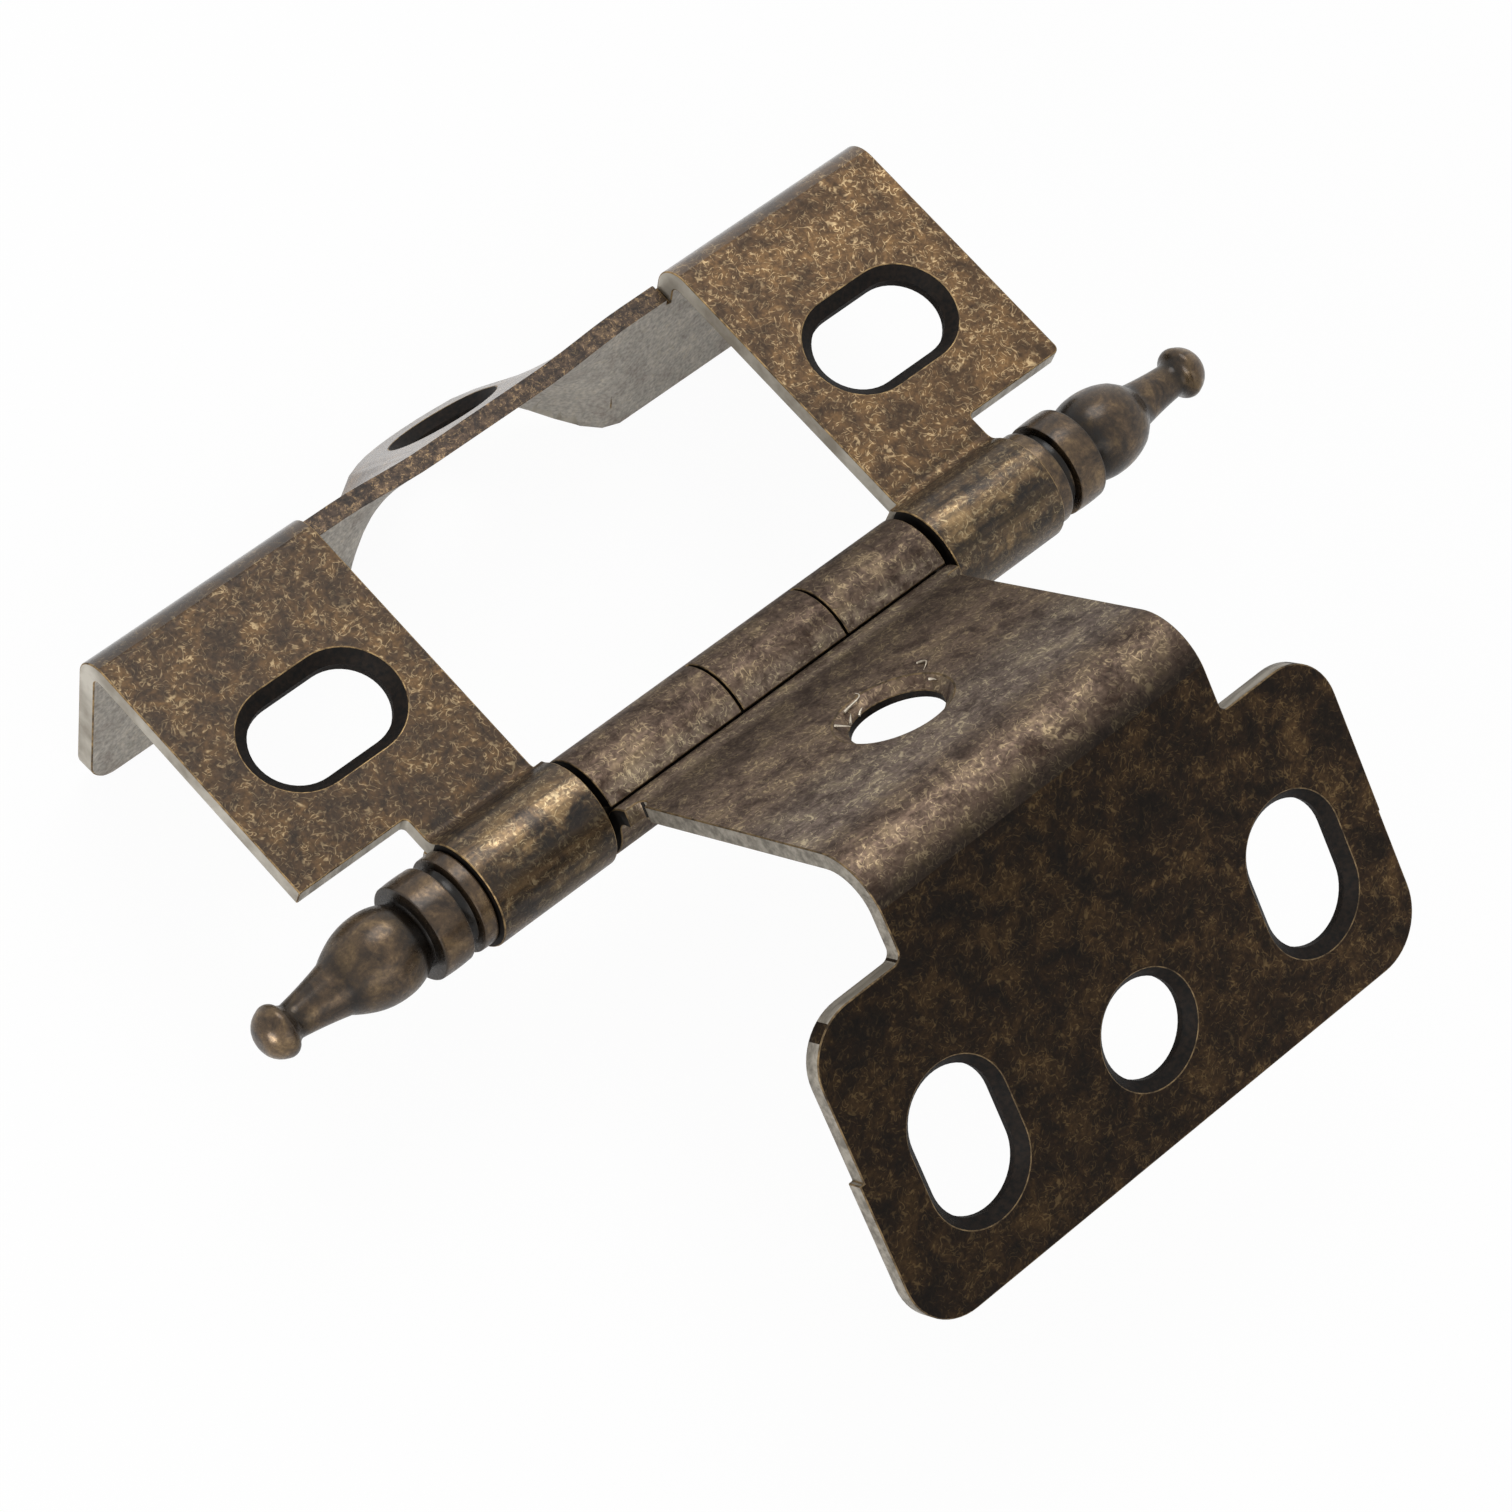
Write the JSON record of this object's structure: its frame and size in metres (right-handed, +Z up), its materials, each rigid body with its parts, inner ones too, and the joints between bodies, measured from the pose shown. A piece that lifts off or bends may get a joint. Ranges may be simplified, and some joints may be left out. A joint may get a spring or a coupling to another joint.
{
  "type": "full inset hinge",
  "caption": "Full inset cabinet hinge with stamped, rolled leaves, slotted and countersunk screw holes, and a pin with a turned finial at each end.",
  "frame": {"origin": "middle of the barrel, on the turning axis", "axes": "+X along the barrel, +Y from the barrel towards the frame leaf's flange, +Z up, square to the frame leaf's tabs"},
  "size_m": [0.068, 0.0589, 0.0257],
  "materials": {
    "frame_leaf": "antique brass plate, aged and scratched",
    "door_leaf": "antique brass plate, aged and scratched",
    "pin": "antique brass plate, aged",
    "finials": "antique brass plate, aged"
  },
  "bodies": {
    "frame_side": {"frame_leaf": "frame_leaf"},
    "door_side": {"door_leaf": "door_leaf", "hinge_pin": "pin", "finial_left": "finials", "finial_right": "finials"}
  },
  "joints": [
    {"name": "barrel_turn", "type": "hinge", "parent": "frame_side", "child": "door_side", "pos_m": [0, 0, 0], "axis": [1, 0, 0], "range_deg": [-132.7, 137.3]}
  ]
}
